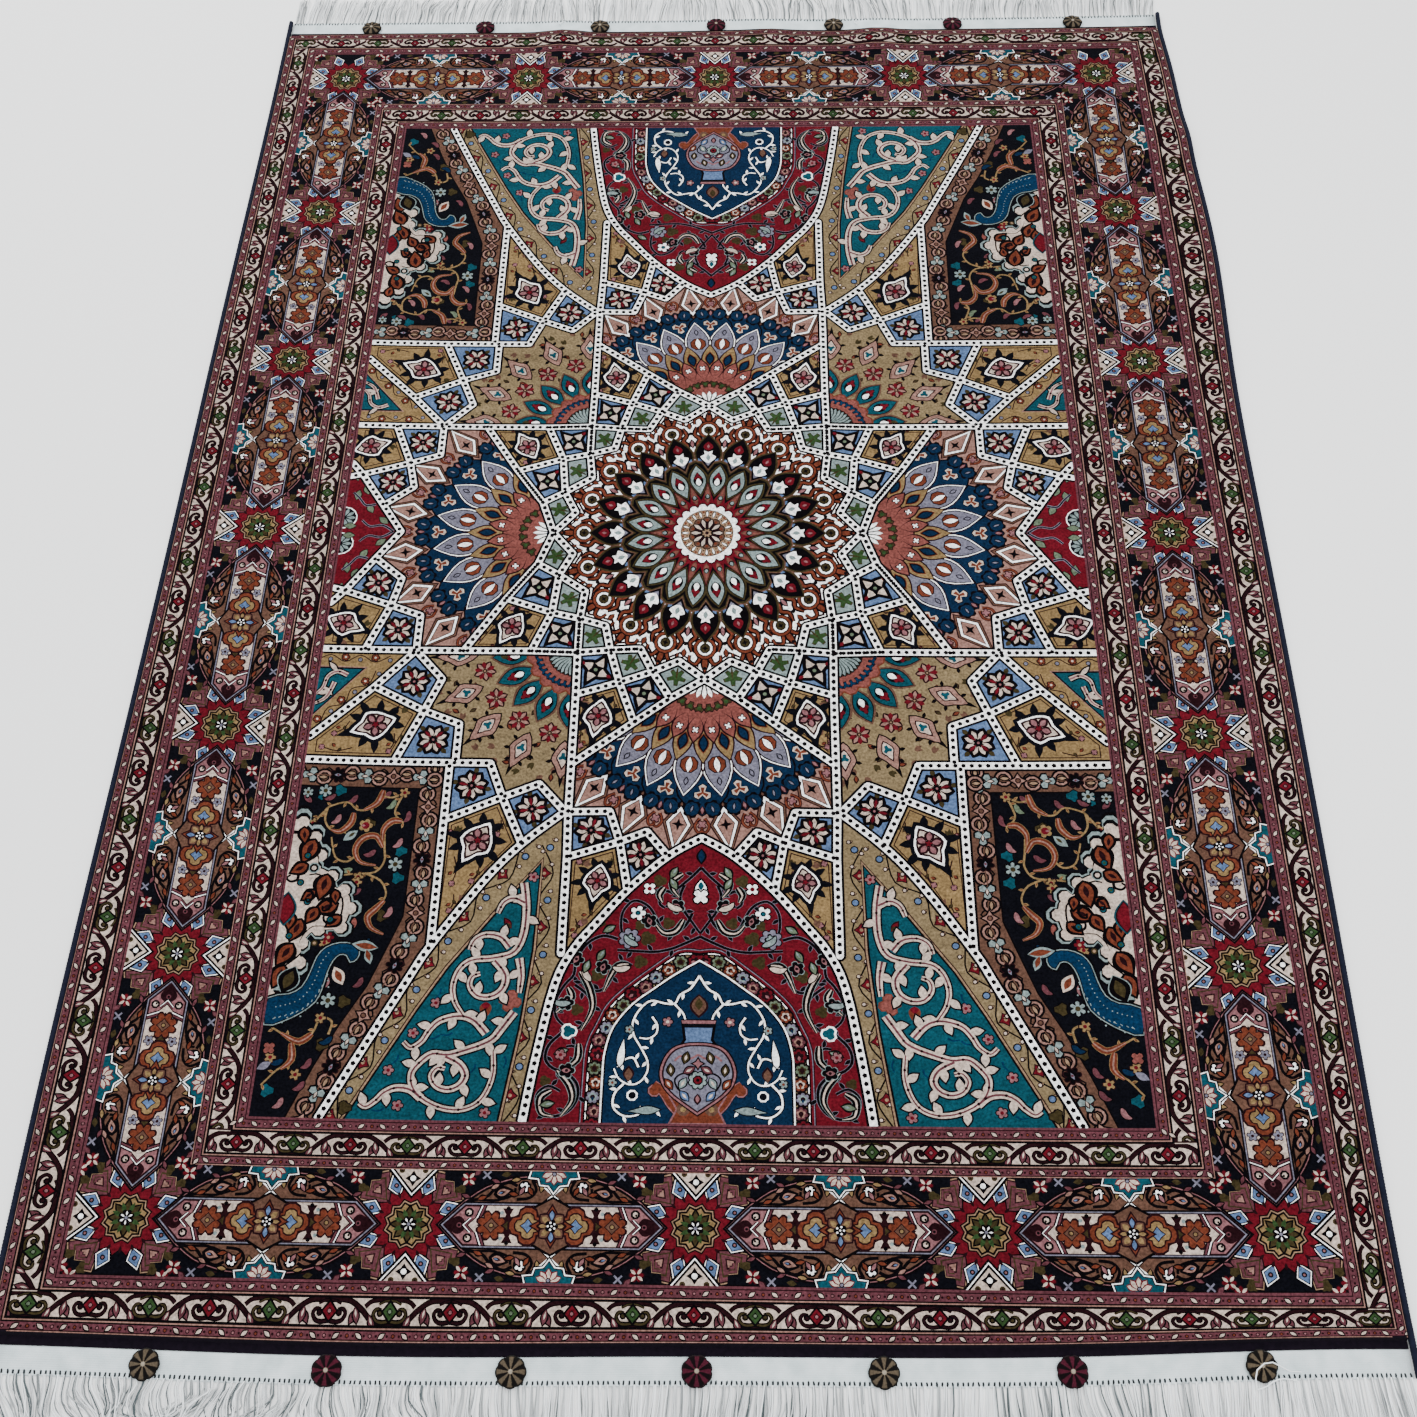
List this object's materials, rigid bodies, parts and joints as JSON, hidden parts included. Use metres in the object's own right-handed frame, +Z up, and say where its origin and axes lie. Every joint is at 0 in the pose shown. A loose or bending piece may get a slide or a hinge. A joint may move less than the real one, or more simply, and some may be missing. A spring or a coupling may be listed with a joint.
{
  "type": "persian rug",
  "caption": "Hand-knotted Persian rug with a dome medallion field, cartouche border, flat-woven cotton ends, fringe and sewn-on rosettes, lying flat.",
  "frame": {"origin": "middle of the rug's own box, on the floor it lies on", "axes": "+X across the rug to the right, +Y along its length to the far fringe, +Z up from the floor"},
  "size_m": [1.5223, 2.3322, 0.0153],
  "materials": {
    "pile_wool": "short cut wool pile, many colours, matt",
    "side_cord_wool": "overcast wool cord, near-black navy",
    "end_cotton": "flat-woven cotton and loose warp yarns, cool white",
    "rosette_brown": "wool button with brown and pink petals",
    "rosette_maroon": "wool button with maroon petals"
  },
  "bodies": {
    "root": {"pile": "pile_wool", "side_cord_left": "side_cord_wool", "side_cord_right": "side_cord_wool", "woven_end_near": "end_cotton", "woven_end_far": "end_cotton", "rosette_near_1": "rosette_brown", "rosette_near_2": "rosette_maroon", "rosette_near_3": "rosette_brown", "rosette_near_4": "rosette_maroon", "rosette_near_5": "rosette_brown", "rosette_near_6": "rosette_maroon", "rosette_near_7": "rosette_brown", "rosette_far_1": "rosette_brown", "rosette_far_2": "rosette_maroon", "rosette_far_3": "rosette_brown", "rosette_far_4": "rosette_maroon", "rosette_far_5": "rosette_brown", "rosette_far_6": "rosette_maroon", "rosette_far_7": "rosette_brown"}
  },
  "joints": []
}
